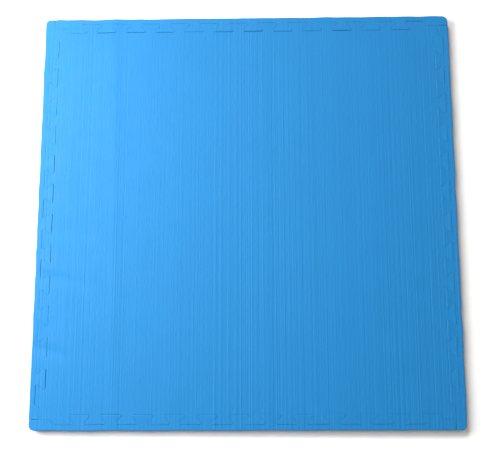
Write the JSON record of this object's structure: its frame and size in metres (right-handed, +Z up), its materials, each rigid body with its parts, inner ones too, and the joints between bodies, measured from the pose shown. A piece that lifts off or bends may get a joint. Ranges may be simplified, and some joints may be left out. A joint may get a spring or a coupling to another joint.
{
  "type": "interlocking foam floor mat",
  "caption": "Square foam floor mat tile with ribbed faces, dovetail jigsaw teeth on all four sides and straight push-in border strips that lift off.",
  "frame": {"origin": "middle of the underside, on the floor", "axes": "+Z up through the thickness, +X to the right and +Y to the back; the ribs run along Y"},
  "size_m": [1.052, 1.052, 0.02],
  "materials": {
    "upper_foam": "matte closed-cell EVA foam, finely ribbed along Y",
    "lower_foam": "matte closed-cell EVA foam, finely ribbed along Y"
  },
  "bodies": {
    "tile": {"tile_upper_layer": "upper_foam", "tile_lower_layer": "lower_foam"},
    "back_border": {"back_border_upper_layer": "upper_foam", "back_border_lower_layer": "lower_foam"},
    "right_border": {"right_border_upper_layer": "upper_foam", "right_border_lower_layer": "lower_foam"},
    "front_border": {"front_border_upper_layer": "upper_foam", "front_border_lower_layer": "lower_foam"},
    "left_border": {"left_border_upper_layer": "upper_foam", "left_border_lower_layer": "lower_foam"}
  },
  "joints": [
    {"name": "back_border_lift", "type": "slide", "parent": "tile", "child": "back_border", "axis": [0, 0, 1], "range_m": [0, 0.06]},
    {"name": "right_border_lift", "type": "slide", "parent": "tile", "child": "right_border", "axis": [0, 0, 1], "range_m": [0, 0.06]},
    {"name": "front_border_lift", "type": "slide", "parent": "tile", "child": "front_border", "axis": [0, 0, 1], "range_m": [0, 0.06]},
    {"name": "left_border_lift", "type": "slide", "parent": "tile", "child": "left_border", "axis": [0, 0, 1], "range_m": [0, 0.06]}
  ]
}
